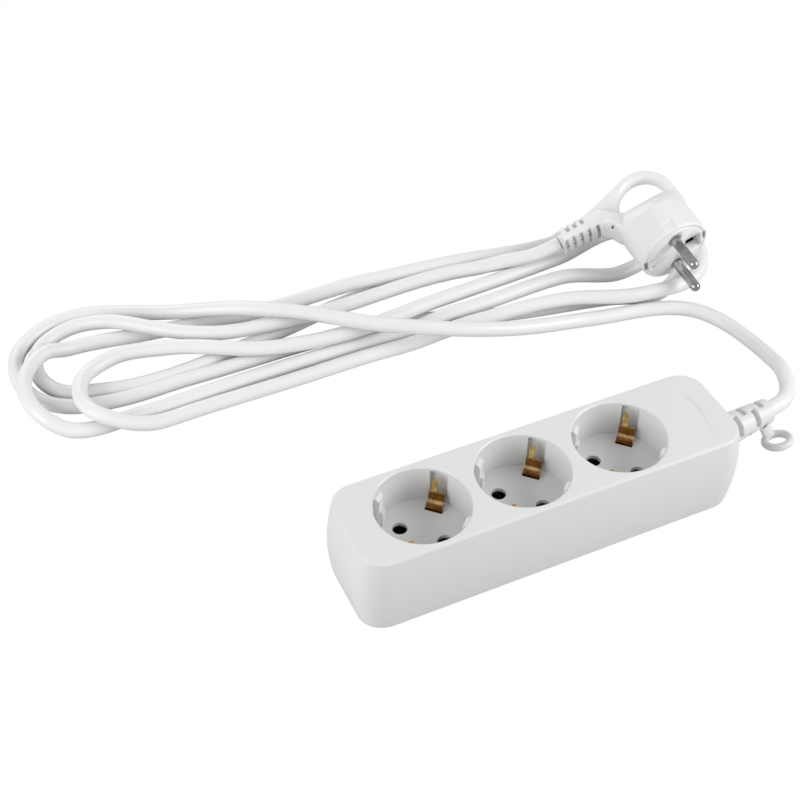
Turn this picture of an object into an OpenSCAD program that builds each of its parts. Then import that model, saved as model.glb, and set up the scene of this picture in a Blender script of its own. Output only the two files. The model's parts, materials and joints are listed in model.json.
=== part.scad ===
// Three-way earthed extension cord: a moulded socket strip, a free lying flexible cord
// and a moulded side-entry plug with a pulling ring. Millimetres, +Z up.
// The origin is the middle of the strip's footprint, on the floor. +X is the cord end.

/* [Strip] */
// Length of the socket strip
strip_l = 172; // [170:1:190]
// Height of the strip
strip_h = 39; // [39:0.5:46]
// Radius of the strip's upright corners
corner_r = 12; // [9:0.5:13]
// Radius of the strip's top edge
edge_r = 1.5; // [0.8:0.1:2.5]
// How far the long sides draw in from their widest to the base
side_bulge = 1.8; // [1:0.1:2]
// How far the end faces draw in from their widest to the top
end_lean = 1.3; // [0.5:0.1:1.8]
// Thickness of the cover's skin at its thinnest
wall = 2; // [1.6:0.1:2.4]
// Thickness of the base plate
plate_t = 1.6; // [1.4:0.1:1.8]

/* [Sockets] */
// Clear space between the walls of neighbouring socket wells
well_gap = 2.6; // [2.4:0.1:4]
// Cover beside a socket well, where the strip is widest
side_cover = 2.55; // [2.5:0.05:5]
// Distance of the middle socket from the strip's middle, towards the blind end
row_shift = 7.5; // [6:0.5:8]
// Inner diameter of a socket well
well_d = 39.5; // [39:0.1:40]
// Depth of a socket well
well_depth = 18; // [17.5:0.1:18.2]
// Wall thickness of a socket well
well_wall = 1.2; // [1:0.1:1.3]
// Thickness of a socket well's floor
well_floor = 1.8; // [1.5:0.1:2]
// Diameter of a pin entry
entry_d = 6.2; // [5.4:0.1:6.4]
// Distance between the two pins of a plug
pin_spacing = 19; // [18.6:0.1:19.4]
// Turn of the pin axis from the strip's length
pin_turn = -45; // [-50:1:-40]

/* [Metal parts] */
// Thickness of the line and neutral bars
bar_t = 0.8; // [0.6:0.1:1]
// Height of the line and neutral bars
bar_h = 9; // [7:0.5:10]
// Thickness of the contact spring's leaves
leaf_t = 0.6; // [0.4:0.1:0.8]
// Clear space between a contact's leaves
leaf_gap = 4.9; // [4.9:0.1:5.3]
// Thickness of the earth metal
earth_t = 0.8; // [0.6:0.1:0.9]
// Width of an earth spring
spring_w = 7; // [6:0.5:7.5]

/* [Cord] */
// Diameter of the cord
cord_d = 7; // [6.6:0.1:7]
// Diameter of one insulated core
core_d = 2.4; // [2.2:0.1:2.6]
// Height of the cord's exit above the floor
exit_z = 18; // [17.5:0.5:19]

/* [Plug] */
// Diameter of the plug's face
plug_d = 35; // [34:0.5:37]
// Diameter of a plug pin
plug_pin_d = 4.8; // [4.6:0.1:4.9]
// Length of a plug pin in front of the face
plug_pin_l = 19; // [18:0.5:19]
// Length of the plug's round nose
nose_l = 17; // [16:0.5:18]
// Thickness of the pulling ring
ring_t = 8; // [7:0.5:10]

/* [Hidden] */
$fn = 96;

// Colours
white = [0.86, 0.86, 0.85];
cord_white = [0.92, 0.92, 0.9];
brass = [0.8, 0.62, 0.28];
nickel = [0.78, 0.78, 0.78];
steel = [0.62, 0.62, 0.64];
brown = [0.4, 0.22, 0.12];
blue = [0.1, 0.3, 0.7];
green = [0.35, 0.65, 0.15];

// Clearances
fit = 0.1;
loose = 0.3;
cut = 1;

// Strip outline
strip_w = well_d + 2 * (well_wall + side_cover);
side_mid_z = 21;
side_r = (side_mid_z * side_mid_z + side_bulge * side_bulge) / (2 * side_bulge);
end_mid_z = 8;
end_rise = strip_h - end_mid_z;
end_r = (end_rise * end_rise + end_lean * end_lean) / (2 * end_lean);
skin = side_bulge + wall;
cavity_h = strip_h - wall;
plate_gap = 0.2;

// Shallow panel on the cord end of the top
panel_l = 17.7;
panel_tip = 10;
panel_x = strip_l / 2 - panel_l;
panel_r = 30;
panel_reach = strip_l / 2 - panel_tip;
panel_drop = 0.8;

// Sockets
sockets = [-1, 0, 1];
well_r = well_d / 2;
well_outer = well_r + well_wall;
pitch = 2 * well_outer + well_gap;
well_top = strip_h;
floor_z = strip_h - well_depth;
under_z = floor_z - well_floor;
rim_r = 0.6;
function socket_x(i) = i * pitch - row_shift;
pin_off = pin_spacing / 2;
pin_dx = pin_off * cos(pin_turn);
pin_dy = pin_off * sin(pin_turn);

// Guide ribs in a well
rib_w = 4.5;
rib_in = 2.4;
rib_top = 2;
rib_chamfer = 1.5;
step_w = 3;
step_in = 1.2;
step_share = 0.5;

// Earth windows and springs
window_w = spring_w + 2 * loose;
window_top = 1.6;
window_sill = 0.6;
pocket_d = 1;
pocket_skin = 0.7;
pocket_top = 2.8;
spring_in = 5.75;
spring_foot_r = well_r - spring_in;
spring_rise = 1.4;
spring_crease = [2.2, 2.9];
spring_shoulder = [3.2, 7];
spring_tip = [3.9, 13.9];
slot_in = 0.6;
slot_out = 1.1;
spring_turn = pin_turn + 90;
tongue_w = 2.5;
tongue_shift = 1.2;

// Fasteners
screw_r = 1.5;
screw_head_r = 2.8;
screw_head_h = 1.2;
post_r = 3.2;
post_y = 14.5;
cover_screw_l = 9;
slot_w = 0.8;
boss_h = 3.2;
boss_r = 4.4;
terminal_head_r = 2.4;
terminal_head_h = 1.4;
rest_l = 3;
rest_w = 1.8;

// Live parts
bar_z = 4;
contact_z = 6;
contact_drop = 3.2;
contact_top = under_z - contact_drop;
contact_l = 8;
bar_y = -pin_dy + leaf_gap / 2 + leaf_t;
bar_from = 5;
block_from = 15;
block_x = socket_x(1) + block_from;
block_l = 7;
block_w = 6;
block_h = 7;
block_z = bar_z + 1;
terminal_bore_r = core_d / 2 + fit;
terminal_screw_l = 2.2;

// Earth metal
bow_z = under_z - earth_t;
rail_z = bow_z - earth_t;
rail_w = 5;
bow_half = spring_foot_r + 1.2;
rivet_r = 1.2;
rivet_head_r = 2;
rivet_head_h = 0.5;
earth_block_z = rail_z - block_h;

// Cord clamp
clamp_in = 14;
clamp_x = strip_l / 2 - clamp_in;
clamp_l = 7;
clamp_half = 8.5;
clamp_screw_y = 6.2;
clamp_t = 5.5;
clamp_pinch = 0.2;
sheath_bare = 1;
sheath_end = clamp_x - sheath_bare;
clamp_screw_l = 8;

// Strain relief of the strip
wall_x = strip_l / 2;
inner_x = wall_x - skin;
boot_neck_r = 6.4;
boot_flange_r = 8.5;
boot_flange_t = 2;
boot_root_r = 7.6;
boot_end_r = 5.15;
boot_slots = 4;
boot_slot_w = 1.7;
core_sides = 8;
strap_room = 1;

// The boot leans gently away from the wall, and the cord leaves it at its far end
boot_start = [strip_l / 2, 0, exit_z];
boot_reach = [30, 3.7, 0];
boot_end = boot_start + boot_reach;
eyelet_at = boot_start + [30, -6.5, -9.5];
eyelet_r = 7.2;
eyelet_hole_r = 3.5;
eyelet_t = 3.4;
eyelet_stalk_r = 1.6;
eyelet_stalk = [boot_start + [23.5, 0, -5.5], boot_start + [27.5, -2, -9.5]];

// Free cord, from the boot's end to the plug's sleeve. It lies as a loose hank:
// level 3.5 is on the floor, 11 is on one strand and 18.5 is on two.
cord_path = [
    [116, 3.7, 18], [127, 7, 17], [135, 15, 15], [140, 25, 13.5], [144.5, 41, 8], [145.5, 60, 4],
    [137, 84, 3.5], [87, 101, 4.5], [44, 103.5, 12], [23, 107, 16.5], [-10, 123, 18.5],
    [-43, 148, 18.5], [-61, 160, 18], [-100, 189, 7], [-121, 203, 3.5], [-140, 207.5, 3.5],
    [-157, 203, 3.5], [-169, 192, 3.5], [-173, 176, 3.5], [-169, 160, 3.5], [-157.5, 149, 3.5],
    [-142, 144.5, 3.5], [-100, 143.5, 3.5], [8, 137, 3.5], [51, 122.5, 3.5], [101, 112, 3.5],
    [127, 105, 4], [145.5, 118.5, 7.5], [147, 130, 9.5], [132, 146, 11], [89, 141.5, 11],
    [23, 137.5, 11], [-36, 134.5, 11], [-63, 139.5, 11], [-106, 160, 10.5], [-131, 164.5, 10],
    [-149.5, 152, 11], [-151.5, 141, 11], [-147.5, 131, 11], [-140, 125, 9], [-128, 122, 5],
    [-109, 122.5, 3.5], [-60, 122.5, 3.5], [-7, 122.5, 3.5], [31, 117.5, 10], [77, 112.5, 11],
    [114, 100.5, 11], [143.5, 102, 11], [158, 127, 11], [143, 151, 11], [126, 155.5, 11],
    [88, 153, 11], [40, 160.5, 11], [-3, 165, 11], [-51, 172, 5], [-104, 180.5, 3.5], [-146, 183.5, 6],
    [-160, 179, 11], [-170, 169, 11], [-170, 142.5, 8.5], [-160, 133, 4], [-128, 130.5, 3.5],
    [-80, 132, 3.5], [-5, 131, 3.5], [28, 127.5, 10], [83, 129, 10], [118, 126, 4], [133, 131, 3.5],
    [139.5, 146, 3.5], [133.5, 160, 3.5], [118.5, 165, 3.5], [84, 157.5, 3.5], [20, 165, 3.5],
    [-17, 162.5, 3.5], [-57, 155.5, 3.5], [-142, 153, 3.5], [-158, 160, 3.5], [-164, 176, 3.5],
    [-158.5, 192, 3.5], [-143, 199, 4.5], [-128, 194, 7.5], [-115, 181.5, 11], [-83, 160, 11],
    [-51, 154, 11], [46, 149, 13.5], [61, 143.5, 17.5], [74, 139, 20], [86.5, 137.4, 24]
];
cord_sides = 10;

// Plug, turned so that its pins point forward and a little down
plug_at = [129, 101.5, 31];
plug_tilt = 10;
plug_turn = 2;
plug_roll = 18;
plug_r = plug_d / 2;
bridge_r = plug_r - 2;
bridge_l = 13;
face_lift = 0.4;
ring_x = 2.5;
ring_z = -33;
ring_r = 17;
ring_hole_r = 10.8;
ring_hole_top = 1;
handle_z = ring_z + ring_hole_top;
handle_from = -14;
handle_to = 18.5;
sleeve_z = -35.5;
sleeve_from = -11;
sleeve_end = -43;
sleeve_root_r = 9;
sleeve_end_r = 5.6;
sleeve_slots = 5;
sleeve_slot_w = 1.6;
sleeve_pitch = 4.6;
groove_w = 5.4;
groove_d = 3;
groove_l = 9;
strap_w = 6;
strap_x = plug_r - 1.9;
strap_front = -1.5;
hole_x = 9;
hole_w = 8;
hole_h = 9;
hole_l = 11;
female_w = 5.4;
female_t = 0.6;
plug_sheath_end = -18;
core_room_r = plug_r - 5;
core_room_z = -18;
core_box = [24, 11, 8];
core_rest = 0.5;
pin_shank_r = 2;
pin_collar_r = 3.2;
pin_collar_t = 0.8;
bridge_z = -bridge_l;

function unit(v) = v / norm(v);
function heading(path, i) = unit(path[min(i + 1, len(path) - 1)] - path[max(i - 1, 0)]);
function side(path, i) = unit(cross(heading(path, i), [0, 0, 1]));
function ring(path, radius, i, sides) = [
    for (k = [0:sides - 1])
        let (a = 360 * k / sides, s = side(path, i), u = cross(s, heading(path, i)))
        path[i] + radius * (cos(a) * s + sin(a) * u)
];

// A tube along a path, with one radius for each of its points
module tube(path, radii, sides) {
    last = len(path) - 1;
    points = [for (i = [0:last]) each ring(path, radii[i], i, sides)];
    walls = [
        for (i = [0:last - 1], k = [0:sides - 1])
            let (a = i * sides + k, b = i * sides + (k + 1) % sides)
            each [[a, a + sides, b], [b, a + sides, b + sides]]
    ];
    start_cap = [for (k = [0:sides - 1]) k];
    end_cap = [for (k = [0:sides - 1]) (last + 1) * sides - 1 - k];
    polyhedron(points = points, faces = concat(walls, [start_cap, end_cap]));
}

// A straight rod between two points, with a radius for each end
module rod(from, to, r1, r2) {
    d = to - from;
    translate(from) rotate([0, acos(d[2] / norm(d)), atan2(d[1], d[0])])
        cylinder(h = norm(d), r1 = r1, r2 = r2);
}

function evenly(path, radius) = [for (p = path) radius];

module outline_2d(l, w, r) {
    square([l - 2 * r, w], center = true);
    square([l, w - 2 * r], center = true);
    for (x = [-1, 1], y = [-1, 1])
        translate([x * (l / 2 - r), y * (w / 2 - r)]) circle(r);
}

// Half section of a side wall, from the middle to a reach. The wall bows with a radius
// round a height, and has a round top edge.
module side_section(reach, mid_z, bow_r) {
    centre_x = reach - bow_r;
    rise = strip_h - edge_r - mid_z;
    edge_x = centre_x + sqrt(pow(bow_r - edge_r, 2) - rise * rise);
    meet_z = mid_z + rise * bow_r / (bow_r - edge_r);
    difference() {
        intersection() {
            square([reach + cut, strip_h]);
            translate([centre_x, mid_z]) circle(bow_r, $fn = 720);
        }
        difference() {
            translate([edge_x, meet_z]) square(strip_h);
            translate([edge_x, strip_h - edge_r]) circle(edge_r);
        }
    }
}

// A run of the strip's cross-section, from one side wall to the other
module wall_run(length, reach, mid_z, bow_r) {
    rotate([90, 0, 0]) linear_extrude(length, center = true) {
        side_section(reach, mid_z, bow_r);
        mirror([1, 0]) side_section(reach, mid_z, bow_r);
    }
}

// The strip's outer form: what both cross-sections and the rounded outline share
module strip_form() {
    intersection() {
        linear_extrude(strip_h) outline_2d(strip_l, strip_w, corner_r);
        wall_run(strip_w + cut, strip_l / 2, end_mid_z, end_r);
        rotate([0, 0, 90]) wall_run(strip_l + cut, strip_w / 2, side_mid_z, side_r);
    }
}

module at_posts() {
    for (i = [-0.5, 0.5], side = [-1, 1])
        translate([socket_x(i), side * post_y, 0]) children();
}

module at_clamp_screws() {
    for (side = [-1, 1])
        translate([clamp_x + clamp_l / 2, side * clamp_screw_y, 0]) children();
}

module along_x(x, y, z) {
    translate([x, y, z]) rotate([0, 90, 0]) children();
}

module top_cover() color(white) {
    difference() {
        union() {
            difference() {
                strip_form();
                translate([0, 0, -cut]) linear_extrude(cavity_h + cut)
                    outline_2d(strip_l - 2 * skin, strip_w - 2 * skin, corner_r - skin);
            }
            at_posts() translate([0, 0, boss_h]) cylinder(h = cavity_h - boss_h + fit, r = post_r);
            translate([clamp_x, -clamp_half, exit_z + clamp_pinch])
                cube([clamp_l, 2 * clamp_half, cavity_h - exit_z]);
        }
        for (i = sockets)
            translate([socket_x(i), 0, under_z]) cylinder(h = strip_h, r = well_outer);
        at_posts() translate([0, 0, boss_h - cut])
            cylinder(h = cover_screw_l + cut, r = screw_r + fit);
        at_clamp_screws() translate([0, 0, exit_z])
            cylinder(h = clamp_screw_l, r = screw_r + fit);
        along_x(clamp_x - cut, 0, exit_z) cylinder(h = clamp_l + 2 * cut, r = cord_d / 2);
        along_x(inner_x - cut, 0, exit_z) cylinder(h = skin + 3 * cut, r = boot_neck_r);
        top_panel();
    }
}

// The shallow panel: a slice that is deepest at its round edge
module top_panel() {
    slope = atan(panel_drop / (panel_reach - panel_x));
    intersection() {
        translate([panel_reach - panel_r, 0, strip_h - 2 * panel_drop])
            cylinder(h = 4 * panel_drop, r = panel_r);
        translate([panel_x, -strip_w / 2, strip_h]) rotate([0, slope, 0])
            cube([panel_r, strip_w, 4 * panel_drop]);
    }
}

module guide_rib() {
    rib_z = well_top - rib_top;
    step_z = floor_z + step_share * (rib_z - floor_z);
    inner = well_r - rib_in;
    rotate([90, 0, 0]) linear_extrude(rib_w, center = true) polygon([
        [well_r + well_wall / 2, floor_z - fit], [inner, floor_z - fit],
        [inner, rib_z - rib_chamfer], [inner + rib_chamfer, rib_z], [well_r + well_wall / 2, rib_z]
    ]);
    translate([inner - step_in, -step_w / 2, floor_z - fit])
        cube([step_in + fit, step_w, step_z - floor_z + fit]);
}

module socket_well(i) color(white) translate([socket_x(i), 0, 0]) {
    difference() {
        union() {
            well_cup();
            for (end = [0, 180]) rotate([0, 0, pin_turn + end]) guide_rib();
            for (end = [0, 180]) rotate([0, 0, spring_turn + end]) window_pocket();
        }
        for (end = [0, 180]) rotate([0, 0, pin_turn + end])
            translate([pin_off, 0, under_z - cut]) cylinder(h = well_floor + 2 * cut, r = entry_d / 2);
        for (end = [0, 180]) rotate([0, 0, spring_turn + end]) earth_window();
    }
}

// The round cup, with a bevelled rim
module well_cup() {
    rotate_extrude() polygon([
        [0, under_z], [well_outer, under_z], [well_outer, well_top], [well_r + rim_r, well_top],
        [well_r, well_top - rim_r], [well_r, floor_z], [0, floor_z]
    ]);
}

// A box on the outside of the cup that closes a window off from the live parts
module window_pocket() {
    reach = well_outer + pocket_d + pocket_skin;
    translate([well_r + well_wall / 2, -window_w / 2 - pocket_skin, under_z + fit])
        cube([reach - well_r - well_wall / 2, window_w + 2 * pocket_skin, cavity_h - under_z - 2 * fit]);
}

// A window in the well's wall, with the slot in its floor for the spring's foot
module earth_window() {
    translate([spring_foot_r - slot_in - earth_t / 2, -window_w / 2, under_z - cut])
        cube([slot_in + slot_out + earth_t, window_w, well_floor + 2 * cut]);
    translate([well_r - rib_in, -window_w / 2, floor_z + window_sill])
        cube([rib_in + well_wall + fit, window_w, well_depth - window_sill - window_top]);
    translate([well_r - rib_in, -window_w / 2, floor_z + window_sill])
        cube([rib_in + well_wall + pocket_d, window_w, well_depth - window_sill - pocket_top]);
}

module bottom_cover() color(white) {
    difference() {
        union() {
            linear_extrude(plate_t) outline_2d(
                strip_l - 2 * skin - 2 * plate_gap, strip_w - 2 * skin - 2 * plate_gap,
                corner_r - skin - plate_gap);
            at_posts() cylinder(h = boss_h, r = boss_r);
            for (i = [-0.5, 0.5], row = [-1, 1])
                translate([socket_x(i) - rest_l / 2, row * (bar_y + bar_t / 2) - rest_w / 2, 0])
                    cube([rest_l, rest_w, bar_z]);
        }
        at_posts() translate([0, 0, -cut]) {
            cylinder(h = screw_head_h + cut, r = screw_head_r + fit);
            cylinder(h = boss_h + 2 * cut, r = screw_r + fit);
        }
    }
}

// A screw that points up, with its head's outer face at height zero
module screw(length, head_r, head_h) {
    difference() {
        union() {
            cylinder(h = head_h, r = head_r);
            cylinder(h = head_h + length, r = screw_r);
        }
        translate([-head_r, -slot_w / 2, -cut]) cube([2 * head_r, slot_w, cut + head_h / 2]);
    }
}

module cover_screws() color(steel) at_posts() screw(cover_screw_l, screw_head_r, screw_head_h);

module bar(row, start) color(brass) {
    inner = min(row * bar_y, row * (bar_y + bar_t));
    difference() {
        union() {
            translate([start, inner, bar_z]) cube([block_x - start + fit, bar_t, bar_h]);
            translate([block_x, row * (bar_y + bar_t / 2) - block_w / 2, block_z])
                cube([block_l, block_w, block_h]);
        }
        terminal_holes(row * (bar_y + bar_t / 2), block_z);
    }
}

// The bore for a core, and the screw hole that meets it from below
module terminal_holes(y, z) {
    along_x(block_x - cut, y, z + block_h / 2) cylinder(h = block_l + 2 * cut, r = terminal_bore_r);
    translate([block_x + block_l / 2, y, z - cut])
        cylinder(h = block_h / 2 + cut, r = screw_r + fit);
}

module line_bar() bar(-1, socket_x(-1) + pin_dx - bar_from);
module neutral_bar() bar(1, socket_x(-1) - pin_dx - bar_from);

// A spring clip with two leaves that grip a pin
module pin_contact(i, row) color(brass) {
    translate([socket_x(i), 0, 0]) rotate([0, 0, row > 0 ? 0 : 180])
        translate([-pin_dx, -pin_dy, contact_z]) linear_extrude(contact_top - contact_z) {
            for (leaf = [-1, 1])
                translate([-contact_l / 2, leaf * (leaf_gap + leaf_t) / 2 - leaf_t / 2])
                    square([contact_l, leaf_t]);
            translate([contact_l / 2 - leaf_t, -leaf_gap / 2 - leaf_t])
                square([leaf_t, leaf_gap + 2 * leaf_t]);
        }
}

module earth_rail() color(brass) {
    start = socket_x(-1) - rail_w;
    difference() {
        union() {
            translate([start, -rail_w / 2, rail_z]) cube([block_x + block_l - start, rail_w, earth_t]);
            translate([block_x, -block_w / 2, earth_block_z]) cube([block_l, block_w, block_h]);
        }
        terminal_holes(0, earth_block_z);
        for (i = sockets) translate([socket_x(i), 0, rail_z - cut])
            cylinder(h = earth_t + 2 * cut, r = rivet_r);
    }
}

module earth_bow(i) color(brass) translate([socket_x(i), 0, bow_z]) {
    difference() {
        rotate([0, 0, spring_turn]) translate([-bow_half, -spring_w / 2, 0])
            cube([2 * bow_half, spring_w, earth_t]);
        translate([0, 0, -cut]) cylinder(h = earth_t + 2 * cut, r = rivet_r);
    }
}

module earth_rivets() color(nickel) for (i = sockets) translate([socket_x(i), 0, rail_z]) {
    cylinder(h = 2 * earth_t, r = rivet_r);
    translate([0, 0, -rivet_head_h]) cylinder(h = rivet_head_h, r = rivet_head_r);
}

// An earth spring: a foot in the floor's slot, a crease, a broad leaf and a narrow tongue
module earth_spring(i, end) color(brass) {
    foot_z = under_z + loose + fit;
    base = [spring_foot_r, floor_z];
    crease = base + spring_crease;
    shoulder = base + spring_shoulder;
    translate([socket_x(i), 0, 0]) rotate([0, 0, spring_turn + end]) {
        spring_leaf([[spring_foot_r, foot_z], base + [0, spring_rise], crease, shoulder], spring_w);
        translate([0, tongue_shift, 0]) spring_leaf([shoulder, base + spring_tip], tongue_w);
    }
}

// A flat leaf of sheet metal, bent along a line of points in the upright plane
module spring_leaf(line, width) {
    half = earth_t / 2;
    rotate([90, 0, 0]) linear_extrude(width, center = true) polygon(concat(
        [for (p = line) p - [half, 0]], [for (n = [len(line) - 1:-1:0]) line[n] + [half, 0]]
    ));
}

module terminal_screws() color(steel) {
    x = block_x + block_l / 2;
    for (row = [-1, 1]) translate([x, row * (bar_y + bar_t / 2), block_z - terminal_head_h])
        screw(terminal_screw_l, terminal_head_r, terminal_head_h);
    translate([x, 0, earth_block_z - terminal_head_h])
        screw(terminal_screw_l, terminal_head_r, terminal_head_h);
}

module cable_clamp() color(white) {
    difference() {
        translate([clamp_x, -clamp_half, exit_z - clamp_pinch - clamp_t])
            cube([clamp_l, 2 * clamp_half, clamp_t]);
        along_x(clamp_x - cut, 0, exit_z) cylinder(h = clamp_l + 2 * cut, r = cord_d / 2);
        at_clamp_screws() cylinder(h = exit_z, r = screw_r + fit);
    }
}

module clamp_screws() color(steel) at_clamp_screws()
    translate([0, 0, exit_z - clamp_pinch - clamp_t - screw_head_h])
        screw(clamp_t + clamp_screw_l - fit - cut, screw_head_r - fit, screw_head_h);

// A core from the end of the sheath to its terminal block
module core(row, z) {
    start = [sheath_end, row * core_d * 0.55, exit_z + (row == 0 ? -1.3 : 0.75)];
    mouth = [block_x + block_l, row * (bar_y + bar_t / 2), z + block_h / 2];
    run = [start[0] - mouth[0], 0, 0];
    path = [
        start, start - run / 4, 0.6 * start + 0.4 * mouth - run / 12,
        mouth + run / 8, mouth - [block_l - 1.5, 0, 0]
    ];
    tube(path, evenly(path, core_d / 2), core_sides);
}

module line_core() color(brown) core(-1, block_z);
module neutral_core() color(blue) core(1, block_z);
module earth_core() color(green) core(0, earth_block_z);

module cord_tail() color(cord_white) {
    path = [[sheath_end, 0, exit_z], boot_start - [3, 0, 0], boot_start + boot_reach / 10, boot_end];
    tube(path, evenly(path, cord_d / 2), 2 * cord_sides);
}

module strip_boot() color(white) {
    difference() {
        union() {
            along_x(inner_x - boot_flange_t, 0, exit_z) cylinder(h = boot_flange_t, r = boot_flange_r);
            along_x(inner_x - fit, 0, exit_z) cylinder(h = skin + 2 * fit, r = boot_neck_r);
            boot_cone();
            eyelet();
        }
        along_x(inner_x - 2 * boot_flange_t, 0, exit_z)
            cylinder(h = skin + 2 * boot_flange_t + cut, r = cord_d / 2 + loose);
        rod(boot_start, boot_start + 1.1 * boot_reach, cord_d / 2 + fit, cord_d / 2 + fit);
        for (i = [1:boot_slots]) boot_slot(i);
    }
}

module boot_cone() {
    difference() {
        rod(boot_start - 0.1 * boot_reach, boot_end, boot_root_r, boot_end_r);
        translate([wall_x - 2 * boot_root_r, -boot_root_r - cut, exit_z - boot_root_r - cut])
            cube([2 * boot_root_r, 2 * boot_root_r + 2 * cut, 2 * boot_root_r + 2 * cut]);
    }
}

// Slots cut in turn from above and below, which let the boot bend
module boot_slot(i) {
    up = i % 2 == 0 ? 1 : -1;
    translate([wall_x + 6 * i, 0.6 * i, exit_z + up * (cord_d / 2 + 4.2)])
        cube([boot_slot_w, 3 * boot_root_r, 6], center = true);
}

module eyelet() {
    translate(eyelet_at) difference() {
        cylinder(h = eyelet_t, r = eyelet_r, center = true);
        cylinder(h = 2 * eyelet_t, r = eyelet_hole_r, center = true);
    }
    rod(eyelet_stalk[0], eyelet_stalk[1], eyelet_stalk_r, eyelet_stalk_r);
}

module cord() color(cord_white) tube(cord_path, evenly(cord_path, cord_d / 2), cord_sides);

// The plug's own frame: pins along +Z from the face at zero, cord along -X, ring along -Z
module in_plug() {
    translate(plug_at) rotate([90 + plug_tilt, 0, plug_turn]) rotate([0, 0, plug_roll]) children();
}

module plug_slab(depth) {
    rotate([90, 0, 0]) linear_extrude(depth, center = true) children();
}

module plug_body() color(white) in_plug() {
    difference() {
        union() {
            translate([0, 0, -nose_l]) cylinder(h = nose_l, r = plug_r);
            plug_shoulder();
            plug_slab(ring_t) difference() {
                translate([ring_x, ring_z]) circle(ring_r);
                ring_hole();
            }
            along_x(sleeve_end, 0, sleeve_z) cylinder(
                h = sleeve_from - sleeve_end, r1 = sleeve_end_r, r2 = sleeve_root_r);
        }
        translate([0, 0, bridge_z]) cylinder(h = bridge_l + cut, r = bridge_r);
        for (end = [-1, 1]) translate([-groove_w / 2, end * plug_r - groove_d, -groove_l])
            cube([groove_w, 2 * groove_d, groove_l + cut]);
        for (end = [-1, 1]) translate([end * strap_x - strap_room, -strap_w / 2 - fit, bridge_z - earth_t])
            cube([2 * strap_room, strap_w + 2 * fit, bridge_l + earth_t + cut]);
        plug_hollow();
        for (i = [0:sleeve_slots - 1]) sleeve_slot(i);
    }
}

// The finger hole: a disc with a flat side towards the face
module ring_hole() {
    intersection() {
        translate([ring_x, ring_z]) circle(ring_hole_r);
        translate([ring_x - ring_r, handle_z - 2 * ring_r]) square(2 * ring_r);
    }
}

module plug_shoulder() {
    hull() {
        translate([0, 0, -nose_l]) cylinder(h = 1, r = plug_r, $fn = 48);
        translate([handle_from, -ring_t / 2, handle_z]) cube([handle_to - handle_from, ring_t, 1]);
    }
}

// Room for the cores between the sheath's end and the back of the bridge
module plug_hollow() {
    translate([0, 0, core_room_z]) cylinder(h = bridge_z - core_room_z + fit, r = core_room_r);
    translate([-strap_x - strap_room, -strap_w / 2 - fit, bridge_z - earth_t])
        cube([2 * strap_x + 2 * strap_room, strap_w + 2 * fit, earth_t + fit]);
    translate([-core_box[0] / 2, -core_box[1] / 2, core_room_z - core_box[2]]) cube(core_box);
    along_x(sleeve_end - cut, 0, sleeve_z)
        cylinder(h = plug_sheath_end - sleeve_end + cut, r = cord_d / 2);
    hull() {
        translate([plug_sheath_end + 1, 0, sleeve_z]) sphere(cord_d / 2, $fn = 24);
        translate([-8, 0, core_room_z - 4]) sphere(cord_d / 2, $fn = 24);
    }
}

// Slots cut in turn from the front and the back of the sleeve
module sleeve_slot(i) {
    up = i % 2 == 0 ? 1 : -1;
    translate([sleeve_end + 4 + sleeve_pitch * i, 0, sleeve_z + up * (cord_d / 2 + 4)])
        cube([sleeve_slot_w, 2 * sleeve_root_r, 6], center = true);
}

module plug_bridge() color(white) in_plug() {
    difference() {
        translate([0, 0, bridge_z]) cylinder(h = bridge_l + face_lift, r = bridge_r);
        for (end = [-1, 1]) translate([0, end * pin_off, bridge_z - cut])
            cylinder(h = bridge_l + 2 * cut, r = pin_shank_r);
        for (end = [-1, 1]) translate([end * strap_x - strap_room, -strap_w / 2 - fit, bridge_z - cut])
            cube([2 * strap_room, strap_w + 2 * fit, bridge_l + 3 * cut]);
        translate([hole_x - hole_w / 2, -hole_h / 2, -hole_l]) cube([hole_w, hole_h, hole_l + cut]);
        translate([hole_x - female_w / 2, -female_w / 2, bridge_z - cut])
            cube([female_w, female_w, bridge_l]);
    }
}

module plug_pin(end) color(nickel) in_plug() translate([0, end * pin_off, 0]) {
    translate([0, 0, face_lift])
        cylinder(h = plug_pin_l - plug_pin_d / 2 - face_lift, r = plug_pin_d / 2);
    translate([0, 0, plug_pin_l - plug_pin_d / 2]) sphere(plug_pin_d / 2);
    translate([0, 0, bridge_z - pin_collar_t])
        cylinder(h = bridge_l + pin_collar_t + face_lift + fit, r = pin_shank_r);
    translate([0, 0, bridge_z - pin_collar_t]) cylinder(h = pin_collar_t, r = pin_collar_r);
}

module plug_line_pin() plug_pin(1);
module plug_neutral_pin() plug_pin(-1);

// One stamping: a cross strip behind the bridge, two side contacts and the earth sleeve
module plug_earth_strap() color(nickel) in_plug() {
    translate([-strap_x - earth_t / 2, -strap_w / 2, bridge_z - earth_t])
        cube([2 * strap_x + earth_t, strap_w, earth_t]);
    for (end = [-1, 1]) translate([end * strap_x - earth_t / 2, -strap_w / 2, bridge_z - earth_t])
        cube([earth_t, strap_w, strap_front - bridge_z + earth_t]);
    translate([hole_x, 0, bridge_z - fit]) linear_extrude(bridge_l - 2 + fit) difference() {
        square(female_w - 2 * fit, center = true);
        square(female_w - 2 * fit - 2 * female_t, center = true);
    }
}

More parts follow.
